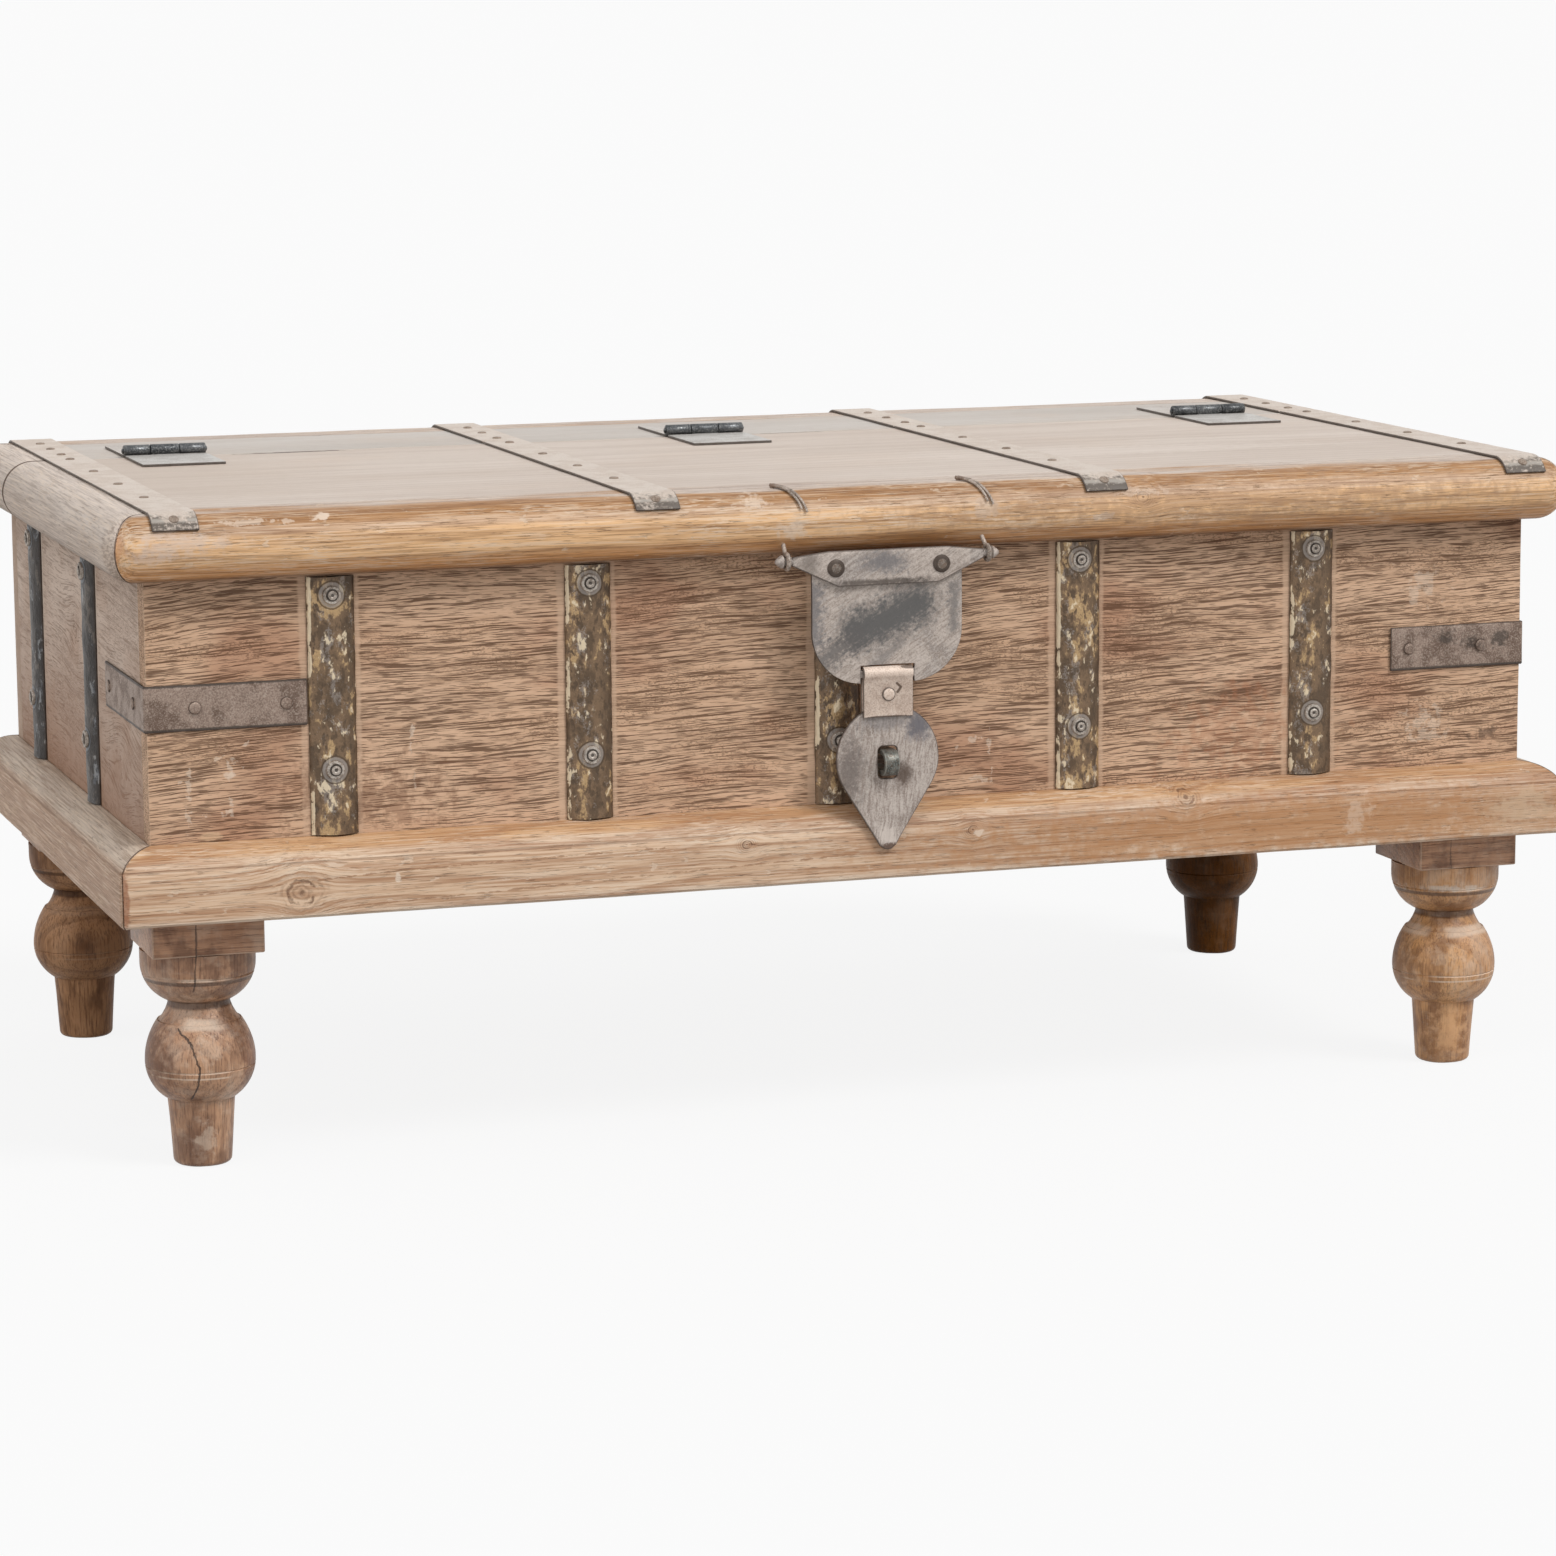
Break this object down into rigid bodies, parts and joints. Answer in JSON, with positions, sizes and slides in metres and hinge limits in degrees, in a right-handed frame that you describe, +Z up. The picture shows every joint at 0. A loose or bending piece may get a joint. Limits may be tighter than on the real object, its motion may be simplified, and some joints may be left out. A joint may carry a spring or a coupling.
{
  "type": "trunk coffee table",
  "caption": "Low trunk table: iron-strapped wooden box on turned legs, with a rear-hinged lift-up top and a hanging hasp with link and slotted drop over a staple.",
  "frame": {"origin": "on the floor, under the middle of the box", "axes": "+X along the length to the right of someone facing the hasp, -Y towards the front with the hasp, +Z up"},
  "size_m": [1.11, 0.599, 0.4774],
  "materials": {
    "top_wood": "bleached and worn, open grain",
    "wall_wood": "rough sawn and wire brushed, open grain",
    "plinth_wood": "worn wax",
    "leg_wood": "worn dark wax",
    "inner_wood": "bare wood",
    "wall_strap_iron": "dark bronze patina, scraped along the crown",
    "top_strap_iron": "limewashed iron, worn grey",
    "band_iron": "mottled grey patina",
    "hinge_zinc": "dull zinc grey",
    "hinge_steel": "dark steel",
    "hasp_iron": "pale worn iron with dark patches",
    "fastener_iron": "dark iron"
  },
  "bodies": {
    "chest": {"band_rivets": "fastener_iron", "bottom_board": "inner_wood", "corner_band_left": "band_iron", "corner_band_right": "band_iron", "corner_posts": "inner_wood", "front_panel": "wall_wood", "front_strap_1": "wall_strap_iron", "front_strap_2": "wall_strap_iron", "front_strap_3": "wall_strap_iron", "front_strap_4": "wall_strap_iron", "front_strap_5": "wall_strap_iron", "hasp_staple": "hasp_iron", "hinge_pins": "hinge_steel", "hinge_rail": "inner_wood", "hinge_rear_leaves": "hinge_zinc", "hinge_rear_screws": "fastener_iron", "left_panel": "wall_wood", "leg_blocks": "leg_wood", "leg_bolts": "fastener_iron", "leg_front_left": "leg_wood", "leg_front_right": "leg_wood", "leg_rear_left": "leg_wood", "leg_rear_right": "leg_wood", "plinth_front": "plinth_wood", "plinth_left": "plinth_wood", "plinth_rear": "plinth_wood", "plinth_right": "plinth_wood", "rear_end_left": "top_wood", "rear_end_right": "top_wood", "rear_moulding": "top_wood", "rear_panel": "wall_wood", "rear_strap_nails": "fastener_iron", "rear_straps": "top_strap_iron", "rear_top_board": "top_wood", "right_panel": "wall_wood", "side_straps_left": "wall_strap_iron", "side_straps_right": "wall_strap_iron", "strap_screws": "fastener_iron"},
    "lid": {"lid_battens": "inner_wood", "lid_board": "top_wood", "lid_front_moulding": "top_wood", "lid_left_moulding": "top_wood", "lid_right_moulding": "top_wood", "lid_strap_1": "top_strap_iron", "lid_strap_2": "top_strap_iron", "lid_strap_3": "top_strap_iron", "lid_strap_4": "top_strap_iron", "lid_strap_nails": "fastener_iron", "hinge_front_leaves": "hinge_zinc", "hinge_front_screws": "fastener_iron", "hasp_eyes": "hasp_iron"},
    "hasp": {"hasp_bar": "hasp_iron", "hasp_plate": "hasp_iron", "hasp_rivets": "hasp_iron"},
    "hasp_drop": {"hasp_link": "hasp_iron", "hasp_drop": "hasp_iron", "hasp_link_rivet": "hasp_iron"}
  },
  "joints": [
    {"name": "lid_hinge", "type": "hinge", "parent": "chest", "child": "lid", "pos_m": [0, 0.122, 0.4729], "axis": [-1, 0, 0], "range_deg": [0, 180]},
    {"name": "hasp_swing", "type": "hinge", "parent": "lid", "child": "hasp", "pos_m": [0.0075, -0.2945, 0.418], "axis": [-1, 0, 0], "range_deg": [0, 160]},
    {"name": "drop_swing", "type": "hinge", "parent": "hasp", "child": "hasp_drop", "pos_m": [0.0075, -0.2925, 0.33425], "axis": [-1, 0, 0], "range_deg": [0, 100]}
  ]
}
